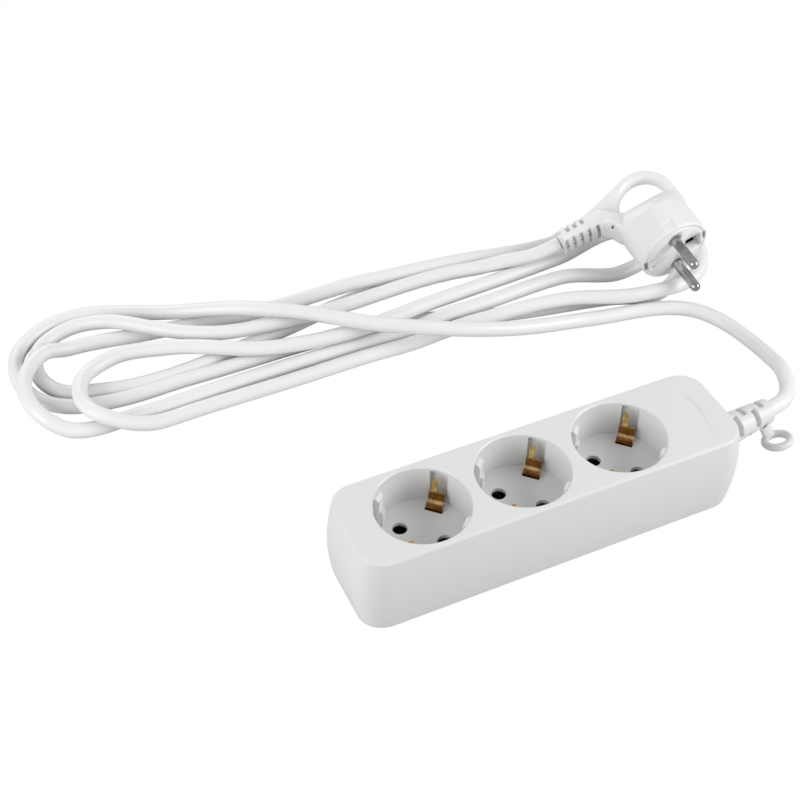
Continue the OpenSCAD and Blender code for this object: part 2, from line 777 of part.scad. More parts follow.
// A core in the plug, from the sheath's end to a pin's collar or the earth strap
module plug_core(row, shade) color(shade) in_plug() {
    target = (row == 0 ? [-3, 0, bridge_z - earth_t] : [0, row * pin_off, bridge_z - pin_collar_t])
        - [0, 0, core_rest];
    start = [plug_sheath_end, row * core_d * 0.55, sleeve_z + (row == 0 ? 1.3 : -0.8)];
    path = [
        start, start + [1.5, 0, 0], start + [4, row * 0.4, row == 0 ? 5 : 2.6],
        [-9, row * 2, core_room_z - (row == 0 ? 3 : 6)], target - [1, row, 3], target
    ];
    tube(path, evenly(path, core_d / 2), core_sides);
}

module plug_line_core() plug_core(1, brown);
module plug_neutral_core() plug_core(-1, blue);
module plug_earth_core() plug_core(0, green);

module plug_cord_end() color(cord_white) in_plug()
    along_x(sleeve_end, 0, sleeve_z) cylinder(h = plug_sheath_end - sleeve_end, r = cord_d / 2);

top_cover();
socket_well(-1);  // socket_well_1
socket_well(0);  // socket_well_2
socket_well(1);  // socket_well_3
bottom_cover();
cover_screws();
line_bar();
neutral_bar();
pin_contact(-1, -1);  // line_contact_1
pin_contact(0, -1);  // line_contact_2
pin_contact(1, -1);  // line_contact_3
pin_contact(-1, 1);  // neutral_contact_1
pin_contact(0, 1);  // neutral_contact_2
pin_contact(1, 1);  // neutral_contact_3
earth_rail();
earth_rivets();
earth_bow(-1);  // earth_bow_1
earth_bow(0);  // earth_bow_2
earth_bow(1);  // earth_bow_3
earth_spring(-1, 0);  // earth_spring_1a
earth_spring(-1, 180);  // earth_spring_1b
earth_spring(0, 0);  // earth_spring_2a
earth_spring(0, 180);  // earth_spring_2b
earth_spring(1, 0);  // earth_spring_3a
earth_spring(1, 180);  // earth_spring_3b
terminal_screws();
cable_clamp();
clamp_screws();
line_core();
neutral_core();
earth_core();
cord_tail();
strip_boot();
cord();
plug_body();
plug_bridge();
plug_line_pin();
plug_neutral_pin();
plug_earth_strap();
plug_line_core();
plug_neutral_core();
plug_earth_core();
plug_cord_end();
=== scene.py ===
"""Looks of a three-way socket strip with its looped cord and plug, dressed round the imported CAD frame."""
import json
import math

import bmesh
import bpy
from mathutils import Matrix, Vector


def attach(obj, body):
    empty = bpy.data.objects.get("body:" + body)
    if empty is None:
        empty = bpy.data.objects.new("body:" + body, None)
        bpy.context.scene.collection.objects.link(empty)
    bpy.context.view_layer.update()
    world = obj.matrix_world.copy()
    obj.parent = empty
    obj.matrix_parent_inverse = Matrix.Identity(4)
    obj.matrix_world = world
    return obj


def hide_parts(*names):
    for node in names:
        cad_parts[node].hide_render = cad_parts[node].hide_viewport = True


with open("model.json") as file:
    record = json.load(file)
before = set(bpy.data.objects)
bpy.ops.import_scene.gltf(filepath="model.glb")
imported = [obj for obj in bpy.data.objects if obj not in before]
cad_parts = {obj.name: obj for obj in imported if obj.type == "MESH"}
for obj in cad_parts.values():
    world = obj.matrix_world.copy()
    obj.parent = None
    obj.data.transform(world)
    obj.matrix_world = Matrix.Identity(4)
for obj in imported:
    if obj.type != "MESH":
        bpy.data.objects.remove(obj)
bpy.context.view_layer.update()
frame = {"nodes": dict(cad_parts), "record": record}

MM = 0.001
TO_METRES = Matrix.Scale(MM, 4)

# what several pieces share: the cord's radius in metres and in millimetres, the middles of the three wells,
# and the axis of the strain relief from the strip's end face to its tip
CORD_R = 0.0035
CORD_R_MM = CORD_R / MM
SOCKET_X = (-52.0, -7.5, 37.0)
BOOT_FROM = Vector((86, 0, 18))
BOOT_TO = Vector((116, 3.7, 18))


# ---------------------------------------------------------------- camera, floor and light, in metres

# a 67.5 mm lens on a square 36 mm frame, at the height and turn of the reference view
CAMERA_AT = (-0.22434, -0.35150, 0.47453)
CAMERA_LOOKS_AT = (-0.01855, 0.09330, 0.0)
CAMERA_LENS = 67.5
SENSOR = 36.0

WHITE = (1, 1, 1, 1)
WORLD_STRENGTH = 0.50
LAMPS_AIM_AT = (0.0, 0.05, 0.0)
# each lamp: its name, place, width and power in watts
LAMPS = (
    ("key", (0.85, -0.55, 0.6), 0.7, 8.7),
    ("fill", (-1.1, -0.1, 0.45), 0.9, 7.6),
    ("back", (0.0, 1.2, 0.5), 0.9, 4),
)

FLOOR_HALF = 4.0
FLOOR_Z = -0.0002
FLOOR_COLOUR = (0.55, 0.55, 0.55, 1)
FLOOR_ROUGHNESS = 0.9


def link(obj):
    bpy.context.scene.collection.objects.link(obj)
    return obj


def make_camera():
    data = bpy.data.cameras.new("camera")
    data.lens = CAMERA_LENS
    data.sensor_width = SENSOR
    camera = link(bpy.data.objects.new("camera", data))
    camera.location = CAMERA_AT
    gaze = Vector(CAMERA_LOOKS_AT) - Vector(CAMERA_AT)
    camera.rotation_euler = gaze.to_track_quat("-Z", "Y").to_euler()
    bpy.context.scene.camera = camera


def make_lamp(name, place, size, power):
    data = bpy.data.lights.new(name, "AREA")
    data.shape = "DISK"
    data.size = size
    data.energy = power
    lamp = link(bpy.data.objects.new(name, data))
    lamp.location = place
    beam = Vector(LAMPS_AIM_AT) - Vector(place)
    lamp.rotation_euler = beam.to_track_quat("-Z", "Y").to_euler()


def camera_sees(tree, shown, lit, surface):
    """Shows the camera one shader, while all other rays meet a second one."""
    mix = tree.nodes.new("ShaderNodeMixShader")
    path = tree.nodes.new("ShaderNodeLightPath")
    tree.links.new(path.outputs["Is Camera Ray"], mix.inputs[0])
    tree.links.new(lit.outputs[0], mix.inputs[1])
    tree.links.new(shown.outputs[0], mix.inputs[2])
    tree.links.new(mix.outputs[0], surface)


def make_world():
    """A world that lights the scene softly and that the camera sees as plain white."""
    world = bpy.data.worlds.new("studio")
    world.use_nodes = True
    bpy.context.scene.world = world
    tree = world.node_tree
    tree.nodes.clear()
    out = tree.nodes.new("ShaderNodeOutputWorld")
    lit = tree.nodes.new("ShaderNodeBackground")
    lit.inputs["Color"].default_value = WHITE
    lit.inputs["Strength"].default_value = WORLD_STRENGTH
    plain = tree.nodes.new("ShaderNodeBackground")
    plain.inputs["Color"].default_value = WHITE
    plain.inputs["Strength"].default_value = 1.0
    camera_sees(tree, plain, lit, out.inputs["Surface"])


def make_floor():
    """A pale floor that the camera sees as plain white, as in the reference view."""
    corners = [(-FLOOR_HALF, -FLOOR_HALF, 0), (FLOOR_HALF, -FLOOR_HALF, 0),
               (FLOOR_HALF, FLOOR_HALF, 0), (-FLOOR_HALF, FLOOR_HALF, 0)]
    mesh = bpy.data.meshes.new("floor")
    mesh.from_pydata(corners, [], [(0, 1, 2, 3)])
    floor = link(bpy.data.objects.new("floor", mesh))
    floor.location.z = FLOOR_Z
    material = bpy.data.materials.new("floor")
    material.use_nodes = True
    tree = material.node_tree
    shader = tree.nodes["Principled BSDF"]
    shader.inputs["Base Color"].default_value = FLOOR_COLOUR
    shader.inputs["Roughness"].default_value = FLOOR_ROUGHNESS
    glow = tree.nodes.new("ShaderNodeEmission")
    glow.inputs["Color"].default_value = WHITE
    camera_sees(tree, glow, shader, tree.nodes["Material Output"].inputs["Surface"])
    mesh.materials.append(material)


# ---------------------------------------------------------------- materials

# moulded plastics: light tone, dark tone, roughness, scale of the grain, depth of the grain in metres
PLASTICS = {
    "shell_white": ((0.745, 0.745, 0.745), (0.73, 0.73, 0.73), 0.42, 5200, 0.00004),
    "plug_white": ((0.84, 0.84, 0.835), (0.82, 0.82, 0.815), 0.36, 4200, 0.00003),
    "cord_pvc": ((0.83, 0.83, 0.825), (0.81, 0.81, 0.805), 0.33, 2600, 0.00003),
    "core_brown": ((0.16, 0.07, 0.03), (0.14, 0.06, 0.025), 0.4, 3000, 0.00002),
    "core_blue": ((0.02, 0.08, 0.42), (0.018, 0.07, 0.38), 0.4, 3000, 0.00002),
    "core_green": ((0.15, 0.42, 0.04), (0.13, 0.38, 0.035), 0.4, 3000, 0.00002),
}
# noise scales of their slow tone changes and of their uneven gloss, how far the roughness swings either way,
# and the strength of the grain
TONE_SCALE = 14
GLOSS_SCALE = 90
GLOSS_SPREAD = 0.05
GRAIN_STRENGTH = 0.35
# share of the light that passes under the surface, and how far in metres, for red, green and blue
SUBSURFACE = 0.08
SUBSURFACE_REACH = (0.002, 0.002, 0.0018)

# sheet metals: light tone, dark tone, roughness, scale of the streaks along X, Y and Z
METALS = {
    "brass": ((0.72, 0.47, 0.15), (0.26, 0.13, 0.045), 0.24, (1, 1, 0.08)),
    "nickel": ((0.56, 0.56, 0.55), (0.30, 0.30, 0.30), 0.14, (1, 0.08, 1)),
    "steel": ((0.62, 0.62, 0.63), (0.5, 0.5, 0.51), 0.3, (1, 1, 1)),
}
# noise scales of their patches and streaks, how far the streaks swing the roughness down and up,
# and the strength of the streaks' relief with its depth in metres
PATCH_SCALE = 160
STREAK_SCALE = 900
STREAK_SMOOTHER = 0.06
STREAK_ROUGHER = 0.1
STREAK_STRENGTH = 0.15
STREAK_DEPTH = 0.00003

# the springs' brass, with its light and shade painted in by height: two heights in metres, and its tones
# between them, each with its share of the way up
BARE_BRASS = (0.7, 0.45, 0.15)
SPRING_ROUGHNESS = 0.22
SPRING_PAINTED_LIGHT_Z = (0.020, 0.035)
# painted shade on the leaf, a painted highlight along its crease, and a gold painted highlight on the tongue
PAINTED_SHADE_BRASS = (0.30, 0.13, 0.035, 1)
PAINTED_HIGHLIGHT_BRASS = (0.90, 0.68, 0.34, 1)
PAINTED_TONGUE_HIGHLIGHT_BRASS = (0.95, 0.70, 0.26, 1)
SPRING_PAINTED_LIGHT = ((0.0, PAINTED_SHADE_BRASS), (0.225, PAINTED_SHADE_BRASS), (0.255, PAINTED_HIGHLIGHT_BRASS),
                 (0.28, PAINTED_SHADE_BRASS), (0.50, PAINTED_SHADE_BRASS), (0.56, PAINTED_TONGUE_HIGHLIGHT_BRASS))
# stains on it: noise scale, how much they show, their colour, and where the noise is stained and clean
STAIN_SCALE = 420
STAIN_SHARE = 0.6
STAIN_COLOUR = (0.45, 0.38, 0.3, 1)
STAIN_SPREAD = (0.4, 0.55)

# where the noise behind any other material's tone counts as fully dark and fully light
NOISE_SPREAD = (0.35, 0.65)


def new_material(name, colour, roughness, metallic=0.0):
    material = bpy.data.materials.new(name)
    material.use_nodes = True
    shader = material.node_tree.nodes["Principled BSDF"]
    shader.inputs["Base Color"].default_value = (*colour, 1)
    shader.inputs["Roughness"].default_value = roughness
    shader.inputs["Metallic"].default_value = metallic
    return material, shader


def noise(material, scale, detail=2, stretch=None):
    tree = material.node_tree
    place = tree.nodes.new("ShaderNodeTexCoord")
    pattern = tree.nodes.new("ShaderNodeTexNoise")
    pattern.inputs["Scale"].default_value = scale
    pattern.inputs["Detail"].default_value = detail
    if stretch:
        scaled = tree.nodes.new("ShaderNodeMapping")
        scaled.inputs["Scale"].default_value = stretch
        tree.links.new(place.outputs["Object"], scaled.inputs["Vector"])
        tree.links.new(scaled.outputs["Vector"], pattern.inputs["Vector"])
    else:
        tree.links.new(place.outputs["Object"], pattern.inputs["Vector"])
    return pattern


def vary_colour(material, source, dark, light, socket):
    """Feeds a noise into a colour socket, between two colours."""
    tree = material.node_tree
    blend = tree.nodes.new("ShaderNodeValToRGB")
    first, last = blend.color_ramp.elements
    first.position, last.position = NOISE_SPREAD
    first.color = (*dark, 1)
    last.color = (*light, 1)
    tree.links.new(source.outputs["Fac"], blend.inputs["Fac"])
    tree.links.new(blend.outputs["Color"], socket)


def vary_number(material, source, low, high, socket):
    """Feeds a noise into a number socket, between two values."""
    tree = material.node_tree
    spread = tree.nodes.new("ShaderNodeMapRange")
    spread.inputs["To Min"].default_value = low
    spread.inputs["To Max"].default_value = high
    tree.links.new(source.outputs["Fac"], spread.inputs["Value"])
    tree.links.new(spread.outputs["Result"], socket)


def bump(material, shader, source, strength, distance):
    tree = material.node_tree
    relief = tree.nodes.new("ShaderNodeBump")
    relief.inputs["Strength"].default_value = strength
    relief.inputs["Distance"].default_value = distance
    tree.links.new(source.outputs["Fac"], relief.inputs["Height"])
    tree.links.new(relief.outputs["Normal"], shader.inputs["Normal"])


def moulded(name, light, dark, roughness, grain, grain_depth):
    """A moulded plastic: slow tone changes, a fine spark-eroded grain and an uneven gloss."""
    material, shader = new_material(name, light, roughness)
    tone = noise(material, TONE_SCALE, detail=3)
    vary_colour(material, tone, dark, light, shader.inputs["Base Color"])
    gloss = noise(material, GLOSS_SCALE)
    smoother, rougher = roughness - GLOSS_SPREAD, roughness + GLOSS_SPREAD
    vary_number(material, gloss, smoother, rougher, shader.inputs["Roughness"])
    bump(material, shader, noise(material, grain), GRAIN_STRENGTH, grain_depth)
    shader.inputs["Subsurface Weight"].default_value = SUBSURFACE
    shader.inputs["Subsurface Radius"].default_value = SUBSURFACE_REACH
    return material


def metal(name, light, dark, roughness, stretch):
    """A sheet metal with drawn streaks along one way."""
    material, shader = new_material(name, light, roughness, metallic=1.0)
    patches = noise(material, PATCH_SCALE, detail=3)
    vary_colour(material, patches, dark, light, shader.inputs["Base Color"])
    streaks = noise(material, STREAK_SCALE, stretch=stretch)
    smoother, rougher = roughness - STREAK_SMOOTHER, roughness + STREAK_ROUGHER
    vary_number(material, streaks, smoother, rougher, shader.inputs["Roughness"])
    bump(material, shader, streaks, STREAK_STRENGTH, STREAK_DEPTH)
    return material


def brass_with_painted_light(name):
    """The earth springs' brass with painted light: painted shade on the leaf, and a painted highlight along
    its crease and on the tongue.
    """
    material, shader = new_material(name, BARE_BRASS, SPRING_ROUGHNESS, metallic=1.0)
    tree = material.node_tree
    place = tree.nodes.new("ShaderNodeTexCoord")
    split = tree.nodes.new("ShaderNodeSeparateXYZ")
    height = tree.nodes.new("ShaderNodeMapRange")
    height.inputs["From Min"].default_value, height.inputs["From Max"].default_value = SPRING_PAINTED_LIGHT_Z
    # a colour ramp up the spring's height that paints shade on the leaf and highlights along the crease and
    # on the tongue
    painted_light_ramp = tree.nodes.new("ShaderNodeValToRGB")
    while len(painted_light_ramp.color_ramp.elements) < len(SPRING_PAINTED_LIGHT):
        painted_light_ramp.color_ramp.elements.new(0.5)
    for element, (share, colour) in zip(painted_light_ramp.color_ramp.elements, SPRING_PAINTED_LIGHT):
        element.position = share
        element.color = colour
    stain = tree.nodes.new("ShaderNodeMix")
    stain.data_type = "RGBA"
    stain.blend_type = "MULTIPLY"
    stain.inputs["Factor"].default_value = STAIN_SHARE
    patches = noise(material, STAIN_SCALE, detail=3)
    tone = tree.nodes.new("ShaderNodeValToRGB")
    first, last = tone.color_ramp.elements
    first.position, last.position = STAIN_SPREAD
    first.color = STAIN_COLOUR
    tree.links.new(place.outputs["Object"], split.inputs["Vector"])
    tree.links.new(split.outputs["Z"], height.inputs["Value"])
    tree.links.new(height.outputs["Result"], painted_light_ramp.inputs["Fac"])
    tree.links.new(patches.outputs["Fac"], tone.inputs["Fac"])
    # sockets 6 and 7 of a Mix node are its two colours, and its output 2 is the mixed one
    tree.links.new(painted_light_ramp.outputs["Color"], stain.inputs[6])
    tree.links.new(tone.outputs["Color"], stain.inputs[7])
    tree.links.new(stain.outputs[2], shader.inputs["Base Color"])
    return material


def make_materials():
    materials = {name: moulded(name, *look) for name, look in PLASTICS.items()}
    materials.update({name: metal(name, *look) for name, look in METALS.items()})
    # the springs' brass has its light and shade painted in by height
    materials["spring_brass"] = brass_with_painted_light("spring_brass")
    return materials


def dress_cad_nodes(materials):
    """Every CAD node takes the material of its own slot in the record."""
    for part in frame["record"]["subparts"]:
        mesh = frame["nodes"][part["node"]].data
        mesh.materials.clear()
        mesh.materials.append(materials[part["material_slot"]])


# ---------------------------------------------------------------- mesh helpers, in millimetres

# radius of the small face that closes a turned solid round its axis, where no other is given
CAP_R = 0.01


def from_lists(name, verts, faces):
    mesh = bpy.data.meshes.new(name)
    mesh.from_pydata([tuple(vert) for vert in verts], [], faces)
    mesh.update()
    return mesh


def skin(rings, count, closed=False):
    """Faces between neighbouring rings of count points each; closed joins the last ring to the first."""
    faces = []
    for ring in range(rings if closed else rings - 1):
        here, beyond = ring * count, (ring + 1) % rings * count
        for point in range(count):
            beside = (point + 1) % count
            faces.append((here + point, here + beside, beyond + beside, beyond + point))
    return faces


def loft(rings):
    """A closed skin through rings that all have the same number of points."""
    count = len(rings[0])
    verts = [point for ring in rings for point in ring]
    faces = skin(len(rings), count)
    faces.append(tuple(reversed(range(count))))
    faces.append(tuple(range((len(rings) - 1) * count, len(rings) * count)))
    return from_lists("loft", verts, faces)


def rounded_ring(half_a, half_b, power, count=48):
    """Points of a superellipse: power 2 gives an ellipse, more gives a box with round corners."""
    points = []
    for step in range(count):
        angle = 2 * math.pi * step / count
        cosine, sine = math.cos(angle), math.sin(angle)
        points.append((half_a * math.copysign(abs(cosine) ** (2 / power), cosine),
                       half_b * math.copysign(abs(sine) ** (2 / power), sine)))
    return points


def lathe(profile, count=64):
    """A closed turned solid round Z from (radius, height) points that start and end off the axis."""
    turns = [2 * math.pi * step / count for step in range(count)]
    return loft([[(radius * math.cos(turn), radius * math.sin(turn), height) for turn in turns]
                 for radius, height in profile])


def cylinder(radius, low, high, count=64, cap=CAP_R):
    """A closed cylinder round Z; cap is the radius of the small face in the middle of each end."""
    return lathe([(cap, low), (radius, low), (radius, high), (cap, high)], count)


def sweep(path, half_over, halves_across, power, up=Vector((0, 1, 0)), count=24):
    """A closed tube along a path: half_over is measured along up, halves_across across it at each point."""
    rings = []
    for i, here in enumerate(path):
        behind, ahead = Vector(path[max(i - 1, 0)]), Vector(path[min(i + 1, len(path) - 1)])
        way = (ahead - behind).normalized()
        across = way.cross(up).normalized()
        over = across.cross(way).normalized()
        rings.append([Vector(here) + over * u + across * v
                      for u, v in rounded_ring(half_over, halves_across[i], power, count)])
    return loft(rings)


def torus(ring_r, rod_r, around=40, count=16):
    """A ring of round rod that lies flat round the origin."""
    verts = []
    for step in range(around):
        angle = 2 * math.pi * step / around
        spoke = Vector((math.cos(angle), math.sin(angle), 0))
        for out, up in rounded_ring(rod_r, rod_r, 2, count):
            verts.append(spoke * (ring_r + out) + Vector((0, 0, up)))
    return from_lists("torus", verts, skin(around, count, closed=True))


def box(low, high):
    (x0, y0, z0), (x1, y1, z1) = low, high
    verts = [(x, y, z) for x in (x0, x1) for y in (y0, y1) for z in (z0, z1)]
    faces = [(0, 1, 3, 2), (4, 6, 7, 5), (0, 4, 5, 1), (2, 3, 7, 6), (0, 2, 6, 4), (1, 5, 7, 3)]
    return from_lists("box", verts, faces)


def prism_y(outline, half):
    """An outline in X and Z, given thickness along Y."""
    return joined([loft([[(x, y, z) for x, z in outline] for y in (-half, half)])])


def on_side(side, near, far):
    """The span between two distances from the middle, on the side of sign 1 or -1, lower value first."""
    return sorted((side * near, side * far))


def along_x(place):
    """The move that lays a solid turned round Z along X, at a place."""
    return Matrix.Translation(place) @ Matrix.Rotation(math.pi / 2, 4, "Y")


def moved(mesh, matrix):
    mesh.transform(matrix)
    return mesh


def smooth_path(points, steps):
    """More points on a smooth line through the given ones."""
    path = []
    for i in range(len(points) - 1):
        before, start = Vector(points[max(i - 1, 0)]), Vector(points[i])
        end, after = Vector(points[i + 1]), Vector(points[min(i + 2, len(points) - 1)])
        for step in range(steps):
            t = step / steps
            path.append(0.5 * (2 * start + (end - before) * t
                               + (2 * before - 5 * start + 4 * end - after) * t * t
                               + (3 * start - before - 3 * end + after) * t ** 3))
    path.append(Vector(points[-1]))
    return path


def joined(meshes):
    """One mesh out of several, with all faces turned outward."""
    work = bmesh.new()
    for mesh in meshes:
        work.from_mesh(mesh)
    bmesh.ops.recalc_face_normals(work, faces=work.faces)
    mesh = bpy.data.meshes.new("joined")
    work.to_mesh(mesh)
    work.free()
    return mesh


def evaluated(obj, name):
    """The mesh of an object with its modifiers applied; the object itself goes."""
    graph = bpy.context.evaluated_depsgraph_get()
    graph.update()
    mesh = bpy.data.meshes.new_from_object(obj.evaluated_get(graph), depsgraph=graph)
    mesh.name = name
    bpy.data.objects.remove(obj)
    return mesh


def fused(mesh, voxel, rounds, name="fused"):
    """One moulding out of overlapping solids, smoothed a number of rounds."""
    obj = link(bpy.data.objects.new(name, mesh))
    remesh = obj.modifiers.new("remesh", "REMESH")
    remesh.mode = "VOXEL"
    remesh.voxel_size = voxel
    smooth = obj.modifiers.new("smooth", "SMOOTH")
    smooth.factor = 0.5
    smooth.iterations = rounds
    return evaluated(obj, name)


def carved(mesh, cutters):
    """A solid with the cutters taken out of it, one after the other."""
    obj = link(bpy.data.objects.new("carved", mesh))
    tools = []
    for cutter in cutters:
        tool = link(bpy.data.objects.new("cutter", cutter))
        cut = obj.modifiers.new("cut", "BOOLEAN")
        cut.operation = "DIFFERENCE"
        cut.solver = "EXACT"
        cut.object = tool
        tools.append(tool)
    result = evaluated(obj, "carved")
    for tool in tools:
        bpy.data.objects.remove(tool)
    return result


def piece(name, mesh, material, body, nodes, matrix=Matrix.Identity(4), smooth=True):
    """A finished piece: scaled to metres, riding on a body and standing for CAD nodes."""
    mesh.transform(TO_METRES @ matrix)
    mesh.materials.clear()
    mesh.materials.append(material)
    for polygon in mesh.polygons:
        polygon.use_smooth = smooth
    obj = link(bpy.data.objects.new(name, mesh))
    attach(obj, body)
    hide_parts(*nodes)
    return obj


# ---------------------------------------------------------------- cover of the strip

STRIP_HALF_L = 86.0
STRIP_HALF_W = 23.5
STRIP_H = 39.0
CORNER_R = 12.0
CORNER_STEPS = 16
# how a wall bows: height of its widest line, how far it draws in from there, and over what height
SIDE_BOW = (21.0, 1.8, 21.0)
END_BOW = (18.0, 2.7, 21.0)
# how far the fullest line of an end face stands out past the strip's half length
END_OUT = 1.4
WALL_STEPS = 22
TOP_EDGE_R = 1.5
TOP_EDGE_STEPS = 8
TOP_EDGE_Z = STRIP_H - TOP_EDGE_R
# edges with a greater turn than this, in degrees, look sharp
SHARP_ANGLE = 28

# the room inside: how far it lies in from the outline, and its lowest and highest height
SHELL = 3.8
ROOM_Z = (-5, STRIP_H - 2)
# round openings that the CAD wells sit in: their radius, and the heights of their cutter
WELL_OUTER = 20.95
WELL_CUT_Z = (19.2, STRIP_H + 3)
# hole in the end face for the strain relief: its radius, and half the length of its cutter
BOOT_HOLE_R = 6.5
BOOT_HOLE_REACH = 10

# shallow panel at the cord end: where it starts and ends along X, its arc, its depth at the arc,
# and half the width of the soft slope at its round edge
PANEL_FROM = 68.3
PANEL_TO = 76.0
PANEL_R = 30.0
PANEL_HALF_ARC = 60
PANEL_STEPS = 96
PANEL_DEEP = 0.8
PANEL_EDGE = 0.9

# screw posts between the wells and the blocks over the cord clamp, inside the cover
POST_X = [(left + right) / 2 for left, right in zip(SOCKET_X, SOCKET_X[1:])]
POST_Y = (-14.5, 14.5)
POST_Z = (3.2, 37.2)
POST_R = 3.2
BLOCK_X = (72, 79)
BLOCK_Y = (3.6, 8.5)
BLOCK_Z = (18.2, 37.2)


def plan_ring(z, end_in, side_in):
    """The strip's outline from above, at one height: straight sides and round corners."""
    points = []
    for quarter, (x_sign, y_sign) in enumerate(((1, 1), (-1, 1), (-1, -1), (1, -1))):
        for step in range(CORNER_STEPS + 1):
            angle = math.radians(90 * (quarter + step / CORNER_STEPS))
            points.append((x_sign * (STRIP_HALF_L - CORNER_R) + (CORNER_R - end_in) * math.cos(angle),
                           y_sign * (STRIP_HALF_W - CORNER_R) + (CORNER_R - side_in) * math.sin(angle), z))
    return points


def drawn_in(z, bow):
    """How far a bowed wall has drawn in from its widest line, at a height."""
    widest, lean, run = bow
    bow_r = (run ** 2 + lean ** 2) / (2 * lean)
    return bow_r - math.sqrt(bow_r ** 2 - (z - widest) ** 2)


def cover_skin():
    """The cover's outside: bowed walls, then the rounded top edge."""
    rings = []
    for step in range(WALL_STEPS + 1):
        z = TOP_EDGE_Z * step / WALL_STEPS
        rings.append(plan_ring(z, drawn_in(z, END_BOW) - END_OUT, drawn_in(z, SIDE_BOW)))
    for step in range(1, TOP_EDGE_STEPS + 1):
        angle = math.radians(90 * step / TOP_EDGE_STEPS)
        rounded = TOP_EDGE_R * (1 - math.cos(angle))
        end_in = drawn_in(TOP_EDGE_Z, END_BOW) - END_OUT + rounded
        side_in = drawn_in(TOP_EDGE_Z, SIDE_BOW) + rounded
        rings.append(plan_ring(TOP_EDGE_Z + TOP_EDGE_R * math.sin(angle), end_in, side_in))
    return joined([loft(rings)])


def panel_cutter():
    """The shallow panel at the cord end: a slanting slice whose round edge is a soft slope."""
    rings = []
    for slants, lift, out in ((True, 0.0, -PANEL_EDGE), (False, 0.0, 0.0), (False, PANEL_DEEP, PANEL_EDGE)):
        radius = PANEL_R + out
        ring = []
        for step in range(PANEL_STEPS + 1):
            angle = math.radians(-PANEL_HALF_ARC + 2 * PANEL_HALF_ARC * step / PANEL_STEPS)
            x = PANEL_TO - PANEL_R + radius * math.cos(angle)
            sink = PANEL_DEEP * (x - PANEL_FROM) / (PANEL_TO - PANEL_FROM) if slants else 0.0
            ring.append((x, radius * math.sin(angle), STRIP_H + lift - sink))
        rings.append(ring)
    return joined([loft(rings)])


def make_cover(material):
    cutters = [loft([plan_ring(z, SHELL, SHELL) for z in ROOM_Z])]
    for x in SOCKET_X:
        opening = cylinder(WELL_OUTER, *WELL_CUT_Z, count=128)
        cutters.append(moved(opening, Matrix.Translation((x, 0, 0))))
    boot_hole = cylinder(BOOT_HOLE_R, -BOOT_HOLE_REACH, BOOT_HOLE_REACH)
    cutters.append(moved(boot_hole, along_x((STRIP_HALF_L, 0, BOOT_FROM.z))))
    cutters.append(panel_cutter())
    solids = [carved(cover_skin(), cutters)]
    for x in POST_X:
        for y in POST_Y:
            post = cylinder(POST_R, *POST_Z, count=32, cap=POST_R / 2)
            solids.append(moved(post, Matrix.Translation((x, y, 0))))
    for side in (-1, 1):
        near, far = on_side(side, *BLOCK_Y)
        solids.append(box((BLOCK_X[0], near, BLOCK_Z[0]), (BLOCK_X[1], far, BLOCK_Z[1])))
    cover = piece("cover_shell", joined(solids), material, "root", ["top_cover"])
    cover.data.set_sharp_from_angle(angle=math.radians(SHARP_ANGLE))


# ---------------------------------------------------------------- strain relief of the strip

# its radii at the end face and at the tip
BOOT_ROOT_R = 7.6
BOOT_END_R = 5.4
# how deep its root reaches into the strip, the length and depth of its tip's bevel, the spacing of its
# sections, and the radius of the small face in the middle of each end
BOOT_ROOT_DEPTH = 4
BOOT_TIP = (0.8, 0.5)
BOOT_STEP = 3
BOOT_CAP_R = 2
# collar behind the end face: its radius, and where it starts and ends from that face
COLLAR_R = 6.4
COLLAR_X = (-13, -3)
COLLAR_CAP_R = 1

# each slot: its place along the boot, and the middle and half of its turn; 0 is up, 90 is the front;
# every slot is cut again on the opposite side
BOOT_SLOTS = ((9.6, 48, 48), (14.8, -34, 46), (19.8, 48, 48), (24.8, -34, 46))
# half a slot's width, its depth, and how far its cutter stands out past the boot
BOOT_SLOT_HALF = 1.2
BOOT_SLOT_DEPTH = 2.1
BOOT_SLOT_PASS = 0.5
BOOT_SLOT_STEPS = 14

# hanging eye: its middle, its radii, and its turns about X and Y in degrees
EYELET_AT = Vector((116, -6.5, 8.5))
EYELET_R = 5.4
EYELET_ROD_R = 1.75
EYELET_TURNS = (-18, -7)
# web that carries the eye: its middle line, its half thickness, its half widths along that line, how square
# its section is, and the way its flat side faces
WEB_LINE = [(112.4, 0.2, 15.2), (112.6, -1.2, 13.2), (113.0, -2.6, 11.2), (113.5, -3.8, 9.3)]
WEB_HALF_T = 1.3
WEB_HALF_W = [3.0, 3.0, 2.9, 2.4]
WEB_POWER = 2.6
WEB_UP = Vector((0, -0.87, 0.5))

# the cord's hole: where it starts from the end face, and how far its cutter passes the tip
BOOT_BORE_FROM = -1
BOOT_BORE_PAST = 5

# grid of the remesh in millimetres and rounds of smoothing, before the slots are cut and after
BOOT_ROUGH = (0.3, 3)
BOOT_FINE = (0.26, 3)


def boot_radius(along, length):
    return BOOT_ROOT_R + (BOOT_END_R - BOOT_ROOT_R) / length * along


def boot_profile(length):
    """Outline of the tapering boot: its root inside the strip, its sections, and its bevelled tip."""
    tip_run, tip_in = BOOT_TIP
    profile = [(BOOT_CAP_R, -BOOT_ROOT_DEPTH), (boot_radius(0, length), -BOOT_ROOT_DEPTH)]
    profile += [(boot_radius(along, length), along) for along in range(0, int(length) - 1, BOOT_STEP)]
    profile += [(boot_radius(length - tip_run, length), length - tip_run),
                (boot_radius(length, length) - tip_in, length), (BOOT_CAP_R, length)]
    return profile


